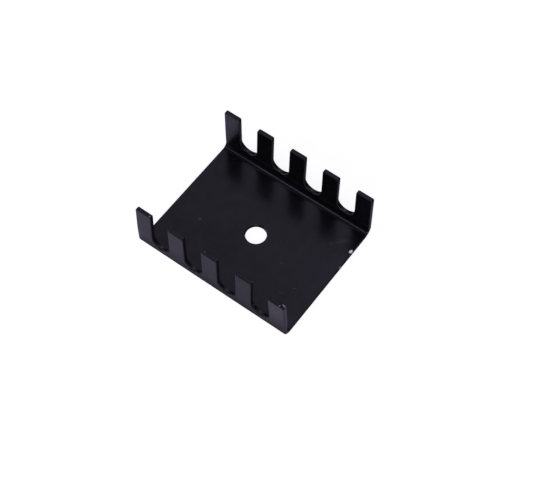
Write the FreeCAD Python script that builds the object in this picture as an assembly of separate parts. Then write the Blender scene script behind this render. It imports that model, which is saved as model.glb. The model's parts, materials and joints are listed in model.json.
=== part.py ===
import FreeCAD, Part
import math
import os

os.makedirs("parts", exist_ok=True)
Vector = FreeCAD.Vector

# A transistor heat sink stamped and folded from one sheet of aluminium, in millimetres and degrees.
# The base lies flat. X runs along the two walls, Y from the front wall to the rear wall, Z upwards.
# It is built about the middle of its base, and then moved so that the origin is the middle of the
# screw hole, on the underside of the base.

# The sheet
sheet_thickness = 0.8
fold_inside_radius = 1.0
edge_break = 0.08  # tumbling breaks the cut edges this far back, before the black finish

# The channel, over everything
channel_length = 31.0
channel_width = 25.4
channel_height = 10.7

# The fingers of a wall
finger_count = 5
finger_width = 3.2
finger_corner_radius = 0.3
web_height = 2.6  # from the underside to the bottom of the slots
finger_bend_radius = 10.0  # middle of the sheet, where handling has bent a finger

# How far each finger leans outwards, from the -X end to the +X end
rear_finger_leans = (0.8, 2.4, 2.5, 1.5, 0.0)
front_finger_leans = (-3.1, -1.3, -1.5, -1.8, 3.2)

# The screw hole
screw_hole_diameter = 3.8
screw_hole_offset = 0.15  # it is punched this far behind the middle of the base

# Worked out from the sizes above
half_length = channel_length / 2
half_width = channel_width / 2
half_thickness = sheet_thickness / 2
slot_width = (channel_length - finger_count * finger_width) / (finger_count - 1)
finger_pitch = finger_width + slot_width
finger_root_z = web_height + slot_width / 2  # where a slot's round bottom meets its straight sides
finger_length = channel_height - finger_root_z
fold_y = half_width - sheet_thickness - fold_inside_radius
fold_z = sheet_thickness + fold_inside_radius
wall_middle_y = half_width - half_thickness

x_axis = Vector(1, 0, 0)
y_axis = Vector(0, 1, 0)
z_axis = Vector(0, 0, 1)


def sheet_end(x_start, length, middle_y, middle_z, normal):
    """The cut end of a strip of sheet that runs along X and faces along normal (+Y or +Z)."""
    across = z_axis if normal == y_axis else y_axis
    corner = Vector(x_start, middle_y, middle_z) - across * half_thickness
    corners = [corner, corner + x_axis * length]
    corners += [corners[1] + across * sheet_thickness, corner + across * sheet_thickness, corner]
    return Part.Face(Part.makePolygon(corners))


def folded(end, centre_y, centre_z, angle):
    """The bend that a sheet end sweeps about a line along X, and the sheet end after it."""
    centre = Vector(0, centre_y, centre_z)
    bend = end.revolve(centre, x_axis, angle)
    moved_end = end.copy()
    moved_end.rotate(centre, x_axis, angle)
    return bend, moved_end


def lies_on(edge, plane_point, plane_normal):
    """True where both ends of an edge lie on a plane."""
    return all(abs((vertex.Point - plane_point).dot(plane_normal)) < 1e-6 for vertex in edge.Vertexes)


def finger(index, lean):
    """One finger of the rear wall, bent by its lean just above its root."""
    x_start = index * finger_pitch - half_length
    root = sheet_end(x_start, finger_width, wall_middle_y, finger_root_z, z_axis)
    pieces = []
    tip_direction = z_axis
    straight_length = finger_length
    if lean != 0:
        side = math.copysign(1, lean)
        bend, root = folded(root, wall_middle_y + side * finger_bend_radius, finger_root_z, -lean)
        pieces.append(bend)
        tip_direction = Vector(0, math.sin(math.radians(lean)), math.cos(math.radians(lean)))
        straight_length = finger_length - math.radians(abs(lean)) * finger_bend_radius
    blade = root.extrude(tip_direction * straight_length)
    tip_point = root.CenterOfMass + tip_direction * straight_length
    at_tip = [edge for edge in blade.Edges if lies_on(edge, tip_point, tip_direction)]
    corners = [edge for edge in at_tip if abs(edge.tangentAt(edge.FirstParameter).dot(x_axis)) < 0.5]
    pieces.append(blade.makeFillet(finger_corner_radius, corners))
    return pieces


def wall(leans):
    """The rear wall: half the base, its fold, the web under the slots, and the fingers."""
    middle_line = sheet_end(-half_length, channel_length, 0, half_thickness, y_axis)
    base = middle_line.extrude(y_axis * fold_y)
    base_end = sheet_end(-half_length, channel_length, fold_y, half_thickness, y_axis)
    fold, web_start = folded(base_end, fold_y, fold_z, 90)
    web = web_start.extrude(z_axis * (finger_root_z - fold_z))
    pieces = [base, fold, web]
    for index in range(finger_count):
        pieces += finger(index, leans[index % len(leans)])
    return pieces


def slot_bottom(index):
    """The round cutter for the bottom of one slot, through both walls."""
    middle_x = finger_width + slot_width / 2 + index * finger_pitch - half_length
    start = Vector(middle_x, -channel_width, finger_root_z)
    return Part.makeCylinder(slot_width / 2, 2 * channel_width, start, y_axis)


def sharp_edges(shape):
    """The edges where the sheet's two surfaces meet a cut, and none of the smooth joins."""
    found = []
    for edge in shape.Edges:
        faces = shape.ancestorsOfType(edge, Part.Face)
        if len(faces) != 2:
            continue
        middle = edge.valueAt((edge.FirstParameter + edge.LastParameter) / 2)
        normals = [face.normalAt(*face.Surface.parameter(middle)) for face in faces]
        if abs(normals[0].dot(normals[1])) < 0.5:
            found.append(edge)
    return found


def heat_sink():
    rear = wall(rear_finger_leans)
    front = [piece.mirror(Vector(0, 0, 0), y_axis) for piece in wall(front_finger_leans)]
    sheet = rear[0].multiFuse(rear[1:] + front)
    hole = Part.makeCylinder(screw_hole_diameter / 2, sheet_thickness, y_axis * screw_hole_offset)
    sheet = sheet.cut([slot_bottom(index) for index in range(finger_count - 1)] + [hole])
    sheet = sheet.removeSplitter()
    sheet = sheet.makeChamfer(edge_break, sharp_edges(sheet)).Solids[0]
    sheet.translate(-y_axis * screw_hole_offset)
    return sheet


heat_sink().exportStep("parts/heat_sink.step")
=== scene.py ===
import json
import math

import bpy
from mathutils import Matrix, Vector


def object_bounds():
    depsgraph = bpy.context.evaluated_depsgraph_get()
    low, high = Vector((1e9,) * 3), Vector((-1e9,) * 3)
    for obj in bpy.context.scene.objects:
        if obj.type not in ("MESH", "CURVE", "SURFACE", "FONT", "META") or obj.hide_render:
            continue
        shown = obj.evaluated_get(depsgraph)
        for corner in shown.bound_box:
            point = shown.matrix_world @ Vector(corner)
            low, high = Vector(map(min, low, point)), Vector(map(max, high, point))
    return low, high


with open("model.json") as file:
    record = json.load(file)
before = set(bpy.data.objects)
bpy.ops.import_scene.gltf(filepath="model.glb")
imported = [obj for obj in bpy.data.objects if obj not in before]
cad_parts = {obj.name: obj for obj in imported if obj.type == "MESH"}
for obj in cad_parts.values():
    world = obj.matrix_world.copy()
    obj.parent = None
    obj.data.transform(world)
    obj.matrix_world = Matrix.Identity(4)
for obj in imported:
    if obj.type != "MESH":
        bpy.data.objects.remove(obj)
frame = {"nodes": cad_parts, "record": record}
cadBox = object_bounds()
heatSink = frame["nodes"]["heat_sink"]
mm = 0.001
perMm = (1 / mm, 1 / mm, 1 / mm)  # turns a place in metres into millimetres
print("frame loaded:", ", ".join(frame["nodes"]))

# Where the photograph was taken from, worked out from the outline of the part in it
photoView = {
    "azimuth": 37.39,  # degrees round from the front
    "elevation": 59.72,  # degrees above the floor
    "roll": -1.03,
    "depth": 223.53 * mm,  # from the camera to the origin, along its line of sight
    "focalLength": 1287.9,  # in pixels of the photograph
    "originPixel": (256.01, 236.55),
    "pictureSize": (533, 478),
    "sensorWidth": 36,  # mm
    "clipping": (0.01, 20),  # m
}


def addCamera(view):
    azimuth, elevation, roll = (math.radians(view[key]) for key in ("azimuth", "elevation", "roll"))
    back = Vector((math.sin(azimuth) * math.cos(elevation),
                   -math.cos(azimuth) * math.cos(elevation),
                   math.sin(elevation)))
    level = Vector((0, 0, 1)).cross(back).normalized()
    upright = back.cross(level)
    right = level * math.cos(roll) + upright * math.sin(roll)
    up = upright * math.cos(roll) - level * math.sin(roll)
    width, height = view["pictureSize"]
    metresPerPixel = view["depth"] / view["focalLength"]
    originRight = (view["originPixel"][0] - width / 2) * metresPerPixel
    originUp = (height / 2 - view["originPixel"][1]) * metresPerPixel
    place = back * view["depth"] - right * originRight - up * originUp

    data = bpy.data.cameras.new("photoCamera")
    data.sensor_fit = "HORIZONTAL"
    data.sensor_width = view["sensorWidth"]
    data.lens = view["focalLength"] * data.sensor_width / width
    data.clip_start, data.clip_end = view["clipping"]
    camera = bpy.data.objects.new("photoCamera", data)
    camera.matrix_world = Matrix.Translation(place) @ Matrix((right, up, back)).transposed().to_4x4()
    bpy.context.scene.collection.objects.link(camera)
    bpy.context.scene.camera = camera


addCamera(photoView)
print("camera placed")

# The places of a Mix node's sockets, which it has for numbers, for vectors and for colours
mixShare = 0
numberA, numberB = 2, 3
vectorA, vectorB, vectorMixed = 4, 5, 1
colourA, colourB, colourMixed = 6, 7, 2


def addNode(tree, kind, links=None, **settings):
    # Each input gets a plain value, or a link from a socket or from a node's first output
    node = tree.nodes.new("ShaderNode" + kind)
    for name, value in settings.items():
        setattr(node, name, value)
    for socket, value in (links or {}).items():
        if isinstance(value, bpy.types.Node):
            value = value.outputs[0]
        if isinstance(value, bpy.types.NodeSocket):
            tree.links.new(value, node.inputs[socket])
        else:
            node.inputs[socket].default_value = value
    return node


def greyAlong(tree, value, stops, interpolation="LINEAR"):
    # A grey that goes through the given (place, grey) stops as the value rises
    start, end = stops[0][0], stops[-1][0]
    share = addNode(tree, "MapRange", {"Value": value, "From Min": start, "From Max": end})
    ramp = addNode(tree, "ValToRGB", {0: share})
    ramp.color_ramp.interpolation = interpolation
    elements = ramp.color_ramp.elements
    countAtFirst = len(elements)  # a new ramp has two stops already
    for index, (place, grey) in enumerate(stops):
        position = (place - start) / (end - start)
        element = elements[index] if index < countAtFirst else elements.new(position)
        element.position = position
        element.color = (grey, grey, grey, 1)
    return ramp


def linear(hexColour):
    parts = [int(hexColour[place:place + 2], 16) / 255 for place in (1, 3, 5)]
    return [part / 12.92 if part <= 0.04045 else ((part + 0.055) / 1.055) ** 2.4 for part in parts] + [1]


# A dim room with softboxes in it
studio = {
    "lightColour": (1.0, 0.925, 1.28),  # the cool violet cast that the black coat shows
    "roomAtHorizon": 0.0,
    "roomOverhead": 0.10,
    "backdropSeen": 1.0,  # white, where the camera looks past the table
    "softboxDistance": 0.8,
    "softboxes": {
        # name: (direction towards it, width and height in degrees, radiance)
        "key": ((-0.300, -0.663, 0.686), (14, 9), 2.3),  # draws the bright line along the rear fold
        "topLeft": ((-0.375, 0.40, 0.836), (27, 30), 0.31),  # what the base mirrors to the camera
        "topMiddle": ((-0.03, 0.40, 0.916), (14, 30), 0.93),  # what the slots' round bottoms mirror
        "topRight": ((0.32, 0.40, 0.859), (26, 30), 0.30),
        "rearLow": ((-0.32, 0.86, 0.53), (44, 22), 0.42),  # what the front fold mirrors through the slots
        "fill": ((0.62, -0.62, 0.48), (50, 44), 2.0),  # beside the camera, lights the paper
        "leftFill": ((-0.80, -0.50, 0.33), (40, 30), 2.65),  # lights it from the other side
    },
}


def addStudio(studio):
    scene = bpy.context.scene
    scene.view_settings.view_transform = "Standard"
    scene.world = bpy.data.worlds.new("studioRoom")
    scene.world.use_nodes = True
    tree = scene.world.node_tree
    tree.nodes.clear()
    ray = addNode(tree, "LightPath")
    sky = addNode(tree, "TexCoord")
    height = addNode(tree, "SeparateXYZ", {0: sky.outputs["Generated"]})
    strength = addNode(tree, "MapRange", {
        "Value": height.outputs["Z"], "To Min": studio["roomAtHorizon"], "To Max": studio["roomOverhead"]})
    room = addNode(tree, "Background", {"Color": (*studio["lightColour"], 1), "Strength": strength})
    backdrop = addNode(tree, "Background", {"Color": (1, 1, 1, 1), "Strength": studio["backdropSeen"]})
    seen = addNode(tree, "MixShader", {0: ray.outputs["Is Camera Ray"], 1: room, 2: backdrop})
    addNode(tree, "OutputWorld", {"Surface": seen})

    distance = studio["softboxDistance"]
    for name, (direction, angles, radiance) in studio["softboxes"].items():
        data = bpy.data.lights.new(name, "AREA")
        data.shape = "RECTANGLE"
        data.color = studio["lightColour"]
        data.size, data.size_y = (2 * distance * math.tan(math.radians(angle / 2)) for angle in angles)
        data.energy = radiance * math.pi * data.size * data.size_y
        light = bpy.data.objects.new(name, data)
        towards = Vector(direction).normalized()
        light.location = towards * distance
        light.rotation_euler = towards.to_track_quat("Z", "Y").to_euler()
        scene.collection.objects.link(light)


addStudio(studio)
print("studio lit")

# The white table: the coat mirrors it with painted light and shade in it, and the camera sees it whiter
table = {
    "size": 6.0,  # m
    # (place in mm, tone): painted light and shade across the paper along X, painted shadow of the rear wall
    # along Y
    "paintedLightAlongX": (
        (-18, 0.87), (-9, 0.85), (-2, 0.75), (5, 0.71), (8.5, 0.74), (11, 0.90), (14, 0.85), (16, 0.70)),
    "paintedShadowAlongY": ((12.0, 1.0), (13.4, 0.60), (14.8, 0.64), (16.8, 0.68), (18.0, 0.20)),
    "paintedContactShadow": 0.68,  # painted contact shadow: the paper is darker close round the part
    "contactReach": (0.5 * mm, 1.9 * mm),
    "paintedShadowUnder": 0.4,  # painted shadow: darker still under it, as the hole's wall shows
    "glowSeen": 0.90,  # what the camera sees shines by itself
    "paperSeen": 0.30,  # and is lit as well, so that it takes the part's shadow
}


def addTable(table):
    bpy.ops.object.select_all(action="DESELECT")
    bpy.ops.mesh.primitive_plane_add(size=table["size"])
    floor = bpy.context.active_object
    floor.name = "floor"
    paper = bpy.data.materials.new("whitePaper")
    paper.use_nodes = True
    tree = paper.node_tree
    tree.nodes.clear()
    ray = addNode(tree, "LightPath")
    texture = addNode(tree, "TexCoord")
    inMm = addNode(tree, "VectorMath", {0: texture.outputs["Object"], 1: perMm}, operation="MULTIPLY")
    axes = addNode(tree, "SeparateXYZ", {0: inMm})
    # Painted light and shade on the paper, which only the coat's reflections see
    across = greyAlong(tree, axes.outputs["X"], table["paintedLightAlongX"])
    behind = greyAlong(tree, axes.outputs["Y"], table["paintedShadowAlongY"])
    tone = addNode(tree, "Math", {0: across, 1: behind}, operation="MULTIPLY")

    # How far outside the part's box a place is
    middle = (cadBox[0] + cadBox[1]) / 2
    halfSize = (cadBox[1] - cadBox[0]) / 2
    fromPart = addNode(tree, "VectorMath", {
        0: texture.outputs["Object"], 1: (middle.x, middle.y, 0)}, operation="SUBTRACT")
    aside = addNode(tree, "VectorMath", {0: fromPart}, operation="ABSOLUTE")
    beyond = addNode(tree, "VectorMath", {0: aside, 1: (halfSize.x, halfSize.y, 0)}, operation="SUBTRACT")
    outside = addNode(tree, "VectorMath", {0: beyond, 1: (0, 0, 0)}, operation="MAXIMUM")
    gap = addNode(tree, "VectorMath", {0: outside}, operation="LENGTH").outputs["Value"]
    nearReach, farReach = table["contactReach"]
    # Painted contact shadow round the part, and painted shadow under it
    contact = addNode(tree, "MapRange", {
        "Value": gap, "From Min": nearReach, "From Max": farReach, "To Min": table["paintedContactShadow"]})
    under = addNode(tree, "MapRange", {"Value": gap, "From Max": nearReach, "To Min": table["paintedShadowUnder"]})
    shade = addNode(tree, "Math", {0: contact, 1: under}, operation="MULTIPLY")

    shaded = addNode(tree, "Math", {0: tone, 1: shade}, operation="MULTIPLY")
    mirrored = addNode(tree, "BsdfDiffuse", {"Color": shaded})
    glow = addNode(tree, "Emission", {"Strength": table["glowSeen"]})
    paperSeen = table["paperSeen"]
    lit = addNode(tree, "BsdfDiffuse", {"Color": (paperSeen, paperSeen, paperSeen, 1)})
    white = addNode(tree, "AddShader", {0: glow, 1: lit})
    seen = addNode(tree, "MixShader", {0: ray.outputs["Is Camera Ray"], 1: mirrored, 2: white})
    addNode(tree, "OutputMaterial", {"Surface": seen})
    floor.data.materials.append(paper)


addTable(table)
print("table laid")

# The folded sheet, in millimetres
sheet = {
    "foldInsideRadius": 1.0,
    "fingerCount": 5,
    "fingerWidth": 3.2,
    "fingerRootZ": 4.475,
    "edgeBreak": 0.08,
    "maxSlope": 0.1,  # no finger leans further than this, as a share of its height
    "tipZone": 0.6,  # points of the mesh this close to the top belong to the tips
    "slack": 0.1,  # how far beside a finger its points are still looked for
}


def measureSheet(sheet):
    # The rest of the sheet's sizes, read from the part itself
    points = [vertex.co / mm for vertex in heatSink.data.vertices]
    lowWallY = [point.y for point in points if point.z < sheet["fingerRootZ"] - sheet["slack"]]
    sheet["halfLength"] = max(point.x for point in points)
    sheet["middleY"] = (max(lowWallY) + min(lowWallY)) / 2
    sheet["halfWidth"] = (max(lowWallY) - min(lowWallY)) / 2
    seat = next(mount for mount in frame["record"]["mounts"] if mount["name"] == "transistor_seat")
    sheet["thickness"] = seat["pos_m"][2] / mm
    sheet["foldY"] = sheet["halfWidth"] - sheet["thickness"] - sheet["foldInsideRadius"]
    sheet["foldZ"] = sheet["thickness"] + sheet["foldInsideRadius"]
    sheet["foldMiddleRadius"] = sheet["foldInsideRadius"] + sheet["thickness"] / 2
    sheet["pitch"] = (2 * sheet["halfLength"] - sheet["fingerWidth"]) / (sheet["fingerCount"] - 1)

    # How far each finger leans outwards for each millimetre that it rises
    wallMiddle = sheet["halfWidth"] - sheet["thickness"] / 2
    tipZ = max(point.z for point in points) - sheet["tipZone"]
    for name, side in (("rearSlopes", 1), ("frontSlopes", -1)):
        sheet[name] = []
        for index in range(sheet["fingerCount"]):
            left = index * sheet["pitch"] - sheet["halfLength"] - sheet["slack"]
            right = left + sheet["fingerWidth"] + 2 * sheet["slack"]
            tip = [point for point in points
                   if point.z > tipZ and side * point.y > 0 and left < point.x < right]
            outwards = [side * (point.y - sheet["middleY"]) - wallMiddle for point in tip]
            rise = sum(point.z for point in tip) / len(tip) - sheet["fingerRootZ"]
            sheet[name].append((max(outwards) + min(outwards)) / 2 / rise)
        print("fingers measured,", name, [round(slope, 3) for slope in sheet[name]])


measureSheet(sheet)

# Black anodised aluminium: rolled sheet, punched and folded, then etched, dyed black and sealed.
# The eye gets a deep black with a satin shine that still mirrors what stands near it.
coat = {
    "dye": "#040405",
    "dyeFaded": "#09080a",
    "dustAndPaintedSheen": "#0e0e0e",  # a film of dust on what faces up, partly a painted sheen that lightens it
    "dustAndSheenFacing": (0.5, 0.9),  # the Z of a face's normal where the dust and painted sheen begin, and where they are full
    "sealThin": "#e2e1e5",  # tints of the shine, where the seal is thin or full
    "sealFull": "#ffffff",
    "sealRange": (0.25, 0.75),  # where it is thin and full, on the pattern of streaks and smudges
    "lineContrast": (1.5, 0.4),  # how strongly rolling lines show in the shine, on other faces and on faces that point up
    "ior": 1.5,
    "roughness": 0.19,
    "smudgeRoughness": 0.035,  # smudges make it rougher or smoother by this much
    "smudgeRange": (0.3, 0.7),  # where it is roughest and smoothest, on the pattern of smudges
    "lineRoughness": 0.06,
    "lineHeight": 0.0004,  # these heights are in mm
    "waveHeight": 0.0030,
    "etchHeight": 0.00025,
    "crownHeight": 0.11,  # the base swells this much in its middle and sinks as much at its folds
    "edgeRounding": (0.06 * mm, 0.35 * mm),  # inner and outer side: the punch rolls the outer one over
    "edgeRoll": (1.0, 0.35),  # how much of that rounding the surface takes
    "edgeBlend": 0.2,  # mm from the middle of the sheet to where the inner or outer values are reached
    "edgeSamples": 8,
}

# The finish's noise patterns: name: (size in mm along X, Y and Z, detail, roughness)
patterns = {
    "rollingLines": ((0.45, 14.0, 14.0), 3.0, 0.6),  # run round the channel, coarser than real to show
    "smudges": ((2.6, 2.6, 2.6), 5.0, 0.6),
    "waves": ((7.0, 7.0, 7.0), 1.0, 0.5),  # the sheet's slight unevenness
    "etch": ((0.06, 0.06, 0.06), 2.0, 0.5),  # the grain that etching leaves, coarser than real
    "ragged": ((0.2, 0.2, 0.2), 3.0, 0.5),  # for the outlines of bands and marks
    "tears": ((0.09, 0.09, 0.09), 4.0, 0.65),
    "drawLines": ((0.1, 5.0, 0.1), 2.0, 0.5),  # the punch draws them through the walls
}
noiseMean = 0.5  # what each pattern averages

# The punch leaves a burnished band on its side of the cut and a dull torn band on the other
cutEdge = {
    "dye": "#151417",  # the cut takes the dye less well
    "burnishedRoughness": 0.24,
    "tornRoughness": 0.42,
    "brokenRoughness": 0.38,  # tumbling broke the edges and left them duller
    "tornFrom": 0.10,  # mm outwards from the middle of the sheet
    "boundaryStray": 0.08,  # mm, how far the torn band's boundary strays
    "blend": 0.02,  # mm over which one band passes into the next
    "tearHeight": 0.002,
    "drawLineHeight": 0.0012,
}

# Wear and marks, with painted highlights and painted shade among them
marksAndPaintedLight = {
    "bareMetalAndHighlight": "#efefde",
    "metalRoughness": 0.40,
    "metallic": 0.4,  # the bare spots and painted highlights are torn as well, so they scatter light too
    "dentFacing": (0.45, -0.40, 0.80),  # which way the dents' floors face
    "dentDepth": 0.02,  # mm
    "gougeHeight": 0.05,  # mm, how uneven their floors are
    "scuffed": "#474543",
    "paintedShadeTint": "#000000",  # painted shade: these spots' shine goes black
    "streakContrast": 3.0,  # how much more the rolling lines show on a streak
    "stray": 0.45,  # how far the marks' outlines stray, as a share of a mark's half size
    "outline": 1.1,  # where a mark ends, in its half sizes
    # How wide a mark's fading border is, in its half sizes
    "softness": {"bareSpotsAndHighlights": 0.3, "scuffs": 1.0, "paintedShadeSpots": 0.3, "streaks": 0.6},
    # name: (middle in mm, turn in degrees, half sizes in mm, strength)
    "bareSpotsAndHighlights": {
        "chip": ((15.22, 6.83, 0.80), -4, (0.27, 0.41, 0.30), 1.0),
        "wornEdge": ((15.42, 3.17, 0.78), 0, (0.10, 0.30, 0.10), 0.30),
        # Painted highlights where glints fall on the fingers' tips, laid as worn bare metal
        "finger5Corner": ((15.04, -12.30, 10.74), 0, (0.28, 0.30, 0.36), 0.48),
        "finger4Corner": ((8.55, -11.97, 10.66), 0, (0.18, 0.16, 0.14), 0.32),
        "finger5Side": ((15.28, -12.58, 10.52), 0, (0.15, 0.26, 0.30), 0.30),
        "finger5Edge": ((14.55, -12.95, 10.50), 0, (0.14, 0.20, 0.26), 0.35),
        "finger3Corner": ((-1.16, -12.17, 10.66), 0, (0.16, 0.14, 0.12), 0.10),
        "finger1Corner": ((-12.62, -12.25, 10.62), 0, (0.15, 0.18, 0.14), 0.30),
        "speckLeft": ((-9.75, -3.28, 0.80), 20, (0.34, 0.24, 0.20), 0.055),
        "speckRight": ((6.94, -1.99, 0.80), 15, (0.20, 0.10, 0.20), 0.06),
        "nickRight": ((11.62, -4.72, 0.80), 42, (0.42, 0.08, 0.20), 0.05),
        "nickFront": ((10.30, -6.61, 0.80), 44, (0.42, 0.08, 0.20), 0.045),
    },
    "scuffs": {
        "longScuff": ((12.95, 7.70, 0.80), 48, (1.5, 0.42, 0.20), 0.85),
        "shortScuff": ((11.50, 6.15, 0.80), 30, (0.50, 0.45, 0.20), 0.8),
        "rearScuff": ((-12.45, 9.15, 0.80), 37, (0.85, 0.10, 0.20), 0.35),
        "rearNick": ((-12.50, 10.20, 0.80), 37, (0.50, 0.10, 0.20), 0.40),
        "frontScuff": ((-11.5, -4.4, 0.80), 70, (1.1, 0.30, 0.20), 0.15),
        # lightens the whole inner face of rear finger 5 a little
        "rearFinger5": ((13.9, 11.75, 7.5), 0, (3.0, 0.4, 6.0), 0.12),
    },
    # Painted shade: a dark dot at finger 5's tip, and a dimmer stretch of the rear fold's highlight at its
    # left end
    "paintedShadeSpots": {
        "finger5PaintedDarkSpot": ((14.96, -12.80, 10.49), 0, (0.23, 0.24, 0.28), 1.0),
        "foldPaintedShade": ((-13.5, 11.4, 1.2), 0, (6.0, 0.9, 1.2), 0.35),
    },
    "streaks": {
        "finger2": ((-6.95, -12.75, 8.0), 0, (2.0, 0.5, 3.0), 1.0),
        "rearFinger2": ((-6.95, 12.2, 8.0), 0, (2.0, 1.0, 3.0), 1.0),
    },
}


def sheetDepth(tree, axes, fromMiddle, sheet):
    # Where a point lies in the sheet's thickness, in mm: 0 in its middle, and more towards the outside.
    # First, how far a leaning finger stands out here
    slotWidth = sheet["pitch"] - sheet["fingerWidth"]
    greys = {}
    for name in ("rearSlopes", "frontSlopes"):
        stops = []
        for index, slope in enumerate(sheet[name]):
            slotMiddle = index * sheet["pitch"] - slotWidth / 2 - sheet["halfLength"]
            stops.append((slotMiddle, (1 + slope / sheet["maxSlope"]) / 2))
        greys[name] = greyAlong(tree, axes.outputs["X"], stops, "CONSTANT")
    isRear = addNode(tree, "Math", {0: fromMiddle, 1: 0}, operation="GREATER_THAN")
    grey = addNode(tree, "Mix", {
        mixShare: isRear, numberA: greys["frontSlopes"], numberB: greys["rearSlopes"]})
    slopeHere = addNode(tree, "MapRange", {
        "Value": grey, "To Min": -sheet["maxSlope"], "To Max": sheet["maxSlope"]})
    aboveRoot = addNode(tree, "Math", {0: axes.outputs["Z"], 1: sheet["fingerRootZ"]}, operation="SUBTRACT")
    height = addNode(tree, "Math", {0: aboveRoot, 1: 0}, operation="MAXIMUM")
    standsOut = addNode(tree, "Math", {0: slopeHere, 1: height}, operation="MULTIPLY")

    # Then the distance from the sheet's middle: flat in the base, round in the fold, flat in the wall
    outwards = addNode(tree, "Math", {0: fromMiddle}, operation="ABSOLUTE")
    upright = addNode(tree, "Math", {0: outwards, 1: standsOut}, operation="SUBTRACT")
    pastFold = addNode(tree, "Math", {0: upright, 1: sheet["foldY"]}, operation="SUBTRACT")
    underFold = addNode(tree, "Math", {0: sheet["foldZ"], 1: axes.outputs["Z"]}, operation="SUBTRACT")
    fromFold = addNode(tree, "CombineXYZ", {"Y": pastFold, "Z": underFold})
    corner = addNode(tree, "VectorMath", {0: fromFold, 1: (0, 0, 0)}, operation="MAXIMUM")
    radius = addNode(tree, "VectorMath", {0: corner}, operation="LENGTH").outputs["Value"]
    return addNode(tree, "Math", {0: radius, 1: sheet["foldMiddleRadius"]}, operation="SUBTRACT")


def addMarks(tree, place, marksAndPaintedLight, group, stray):
    # One number, 1 on any of the group's marks and 0 away from them, times each mark's strength
    total = None
    for name, (middle, turn, halfSizes, strength) in marksAndPaintedLight[group].items():
        mark = addNode(tree, "Mapping", {
            "Vector": place, "Location": middle, "Rotation": (0, 0, math.radians(turn)),
            "Scale": halfSizes}, vector_type="TEXTURE", label=name)
        away = addNode(tree, "VectorMath", {0: mark}, operation="LENGTH").outputs["Value"]
        ragged = addNode(tree, "Math", {0: away, 1: stray}, operation="ADD")
        shown = addNode(tree, "MapRange", {
            "Value": ragged, "From Min": marksAndPaintedLight["outline"],
            "From Max": marksAndPaintedLight["outline"] - marksAndPaintedLight["softness"][group], "To Max": strength})
        total = shown if total is None else addNode(tree, "Math", {0: total, 1: shown}, operation="MAXIMUM")
    return total


def layered(tree, colour, layers):
    # Each layer's colour covers what is under it as far as its share says
    for share, layerColour in layers:
        covered = addNode(tree, "Mix", {
            mixShare: share, colourA: colour, colourB: linear(layerColour)}, data_type="RGBA")
        colour = covered.outputs[colourMixed]
    return colour


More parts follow.
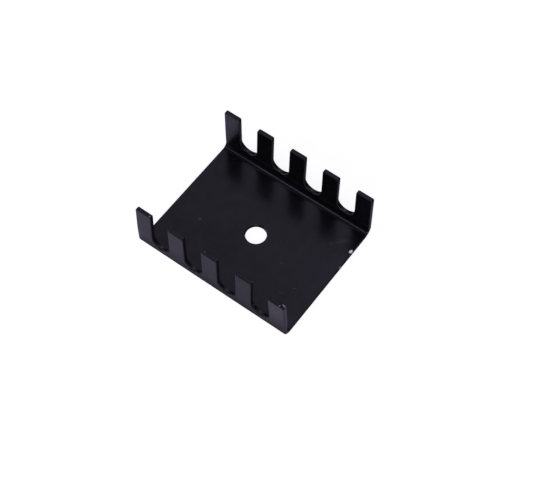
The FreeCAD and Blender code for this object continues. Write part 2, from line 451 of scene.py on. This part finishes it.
def blackAnodisedAluminium(coat, patterns, cutEdge, marksAndPaintedLight, sheet):
    material = bpy.data.materials.new("blackAnodisedAluminium")
    material.use_nodes = True
    tree = material.node_tree
    tree.nodes.clear()
    texture = addNode(tree, "TexCoord")
    place = addNode(tree, "Mapping", {"Vector": texture.outputs["Object"], "Scale": perMm})
    axes = addNode(tree, "SeparateXYZ", {0: place})
    fromMiddle = addNode(tree, "Math", {0: axes.outputs["Y"], 1: sheet["middleY"]}, operation="SUBTRACT")
    depth = sheetDepth(tree, axes, fromMiddle, sheet)
    noise = {}
    for name, (size, detail, coarseness) in patterns.items():
        scaled = addNode(tree, "VectorMath", {0: place, 1: [1 / side for side in size]}, operation="MULTIPLY")
        noise[name] = addNode(tree, "TexNoise", {
            "Vector": scaled, "Scale": 1.0, "Detail": detail, "Roughness": coarseness}, label=name)

    # The cut edges: torn towards the outside, with a ragged boundary, and burnished towards the inside
    halfSheet = sheet["thickness"] / 2
    blend = cutEdge["blend"]
    toFace = addNode(tree, "Math", {0: depth}, operation="ABSOLUTE")
    isCut = addNode(tree, "MapRange", {
        "Value": toFace, "From Min": halfSheet - blend, "From Max": halfSheet - 2 * blend})
    edgeEnd = halfSheet - sheet["edgeBreak"]
    isInside = addNode(tree, "MapRange", {
        "Value": toFace, "From Min": edgeEnd + blend, "From Max": edgeEnd - blend})
    boundary = addNode(tree, "MapRange", {
        "Value": noise["ragged"], "To Min": -cutEdge["boundaryStray"], "To Max": cutEdge["boundaryStray"]})
    strayed = addNode(tree, "Math", {0: depth, 1: boundary}, operation="ADD")
    tornSide = addNode(tree, "MapRange", {
        "Value": strayed, "From Min": cutEdge["tornFrom"] - blend, "From Max": cutEdge["tornFrom"] + blend})
    isTorn = addNode(tree, "Math", {0: tornSide, 1: isInside}, operation="MULTIPLY")

    # The marks: wear, painted highlights and painted shade
    stray = addNode(tree, "MapRange", {
        "Value": noise["ragged"], "To Min": -marksAndPaintedLight["stray"], "To Max": marksAndPaintedLight["stray"]})
    bareAndHighlight, scuffs, paintedShadeSpots, streaks = (
        addMarks(tree, place, marksAndPaintedLight, group, stray) for group in ("bareSpotsAndHighlights", "scuffs", "paintedShadeSpots", "streaks"))

    # Colour
    # Dust on faces that point up, partly a painted sheen that lightens them
    facing = addNode(tree, "SeparateXYZ", {0: texture.outputs["Normal"]})
    someDustAndSheen, fullDustAndSheen = coat["dustAndSheenFacing"]
    dustAndSheen = addNode(tree, "MapRange", {
        "Value": facing.outputs["Z"], "From Min": someDustAndSheen, "From Max": fullDustAndSheen})
    scratchy = addNode(tree, "Math", {0: scuffs, 1: noise["ragged"]}, operation="MULTIPLY")
    colour = layered(tree, linear(coat["dye"]), (
        (noise["smudges"], coat["dyeFaded"]), (isCut, cutEdge["dye"]), (dustAndSheen, coat["dustAndPaintedSheen"]),
        (scratchy, marksAndPaintedLight["scuffed"]), (bareAndHighlight, marksAndPaintedLight["bareMetalAndHighlight"])))

    # The tint of the shine
    cleanContrast, upwardContrast = coat["lineContrast"]
    contrast = addNode(tree, "MapRange", {"Value": dustAndSheen, "To Min": cleanContrast, "To Max": upwardContrast})
    boosted = addNode(tree, "Math", {
        0: streaks, 1: marksAndPaintedLight["streakContrast"], 2: contrast}, operation="MULTIPLY_ADD")
    centred = addNode(tree, "Math", {0: noise["rollingLines"], 1: noiseMean}, operation="SUBTRACT")
    streaky = addNode(tree, "Math", {0: centred, 1: boosted, 2: noise["smudges"]}, operation="MULTIPLY_ADD")
    thinSeal, fullSeal = coat["sealRange"]
    sealed = addNode(tree, "MapRange", {"Value": streaky, "From Min": thinSeal, "From Max": fullSeal})
    # the painted shade spots turn the shine black
    shine = layered(tree, linear(coat["sealThin"]), ((sealed, coat["sealFull"]), (paintedShadeSpots, marksAndPaintedLight["paintedShadeTint"])))

    # Roughness
    lowSmudge, highSmudge = coat["smudgeRange"]
    smudged = addNode(tree, "MapRange", {
        "Value": noise["smudges"], "From Min": lowSmudge, "From Max": highSmudge,
        "To Min": coat["roughness"] + coat["smudgeRoughness"],
        "To Max": coat["roughness"] - coat["smudgeRoughness"]})
    satin = addNode(tree, "Math", {
        0: noise["rollingLines"], 1: coat["lineRoughness"], 2: smudged}, operation="MULTIPLY_ADD")
    banded = addNode(tree, "Mix", {
        mixShare: isTorn, numberA: cutEdge["burnishedRoughness"], numberB: cutEdge["tornRoughness"]})
    cutRoughness = addNode(tree, "Mix", {
        mixShare: isInside, numberA: cutEdge["brokenRoughness"], numberB: banded})
    coated = addNode(tree, "Mix", {mixShare: isCut, numberA: satin, numberB: cutRoughness})
    roughness = addNode(tree, "Mix", {mixShare: bareAndHighlight, numberA: coated, numberB: marksAndPaintedLight["metalRoughness"]})

    # Relief, in millimetres
    across = addNode(tree, "Math", {0: fromMiddle, 1: math.pi / sheet["foldY"]}, operation="MULTIPLY")
    crown = addNode(tree, "Math", {0: across}, operation="COSINE")
    gouged = addNode(tree, "Math", {0: noise["ragged"], 1: bareAndHighlight}, operation="MULTIPLY")
    torn = addNode(tree, "Math", {0: noise["tears"], 1: isTorn}, operation="MULTIPLY")
    drawn = addNode(tree, "Math", {0: noise["drawLines"], 1: isInside}, operation="MULTIPLY")
    relief = 0
    for pattern, patternHeight in (
            (noise["waves"], coat["waveHeight"]), (crown, coat["crownHeight"]),
            (noise["etch"], coat["etchHeight"]), (noise["rollingLines"], coat["lineHeight"]),
            (bareAndHighlight, -marksAndPaintedLight["dentDepth"]), (gouged, marksAndPaintedLight["gougeHeight"]),
            (torn, cutEdge["tearHeight"]), (drawn, cutEdge["drawLineHeight"])):
        relief = addNode(tree, "Math", {0: pattern, 1: patternHeight, 2: relief}, operation="MULTIPLY_ADD")

    # The edges' rounding, the floors of the dents, and the relief on top
    rounding, roll = (
        addNode(tree, "MapRange", {
            "Value": depth, "From Min": -coat["edgeBlend"], "From Max": coat["edgeBlend"],
            "To Min": inner, "To Max": outer})
        for inner, outer in (coat["edgeRounding"], coat["edgeRoll"]))
    rounded = addNode(tree, "Bevel", {"Radius": rounding}, samples=coat["edgeSamples"])
    flat = addNode(tree, "NewGeometry")
    rolled = addNode(tree, "Mix", {
        mixShare: roll, vectorA: flat.outputs["Normal"], vectorB: rounded}, data_type="VECTOR")
    dentFloor = addNode(tree, "VectorTransform", {
        0: marksAndPaintedLight["dentFacing"]}, vector_type="NORMAL", convert_from="OBJECT", convert_to="WORLD")
    dented = addNode(tree, "Mix", {
        mixShare: bareAndHighlight, vectorA: rolled.outputs[vectorMixed], vectorB: dentFloor}, data_type="VECTOR")
    normal = addNode(tree, "Bump", {
        "Height": relief, "Distance": mm, "Normal": dented.outputs[vectorMixed]})

    metallic = addNode(tree, "Math", {0: bareAndHighlight, 1: marksAndPaintedLight["metallic"]}, operation="MULTIPLY")
    shader = addNode(tree, "BsdfPrincipled", {
        "Base Color": colour, "Metallic": metallic, "Roughness": roughness,
        "IOR": coat["ior"], "Specular Tint": shine, "Normal": normal})
    addNode(tree, "OutputMaterial", {"Surface": shader})
    return material


heatSink.data.materials.clear()
heatSink.data.materials.append(blackAnodisedAluminium(coat, patterns, cutEdge, marksAndPaintedLight, sheet))
print("heat sink finished")
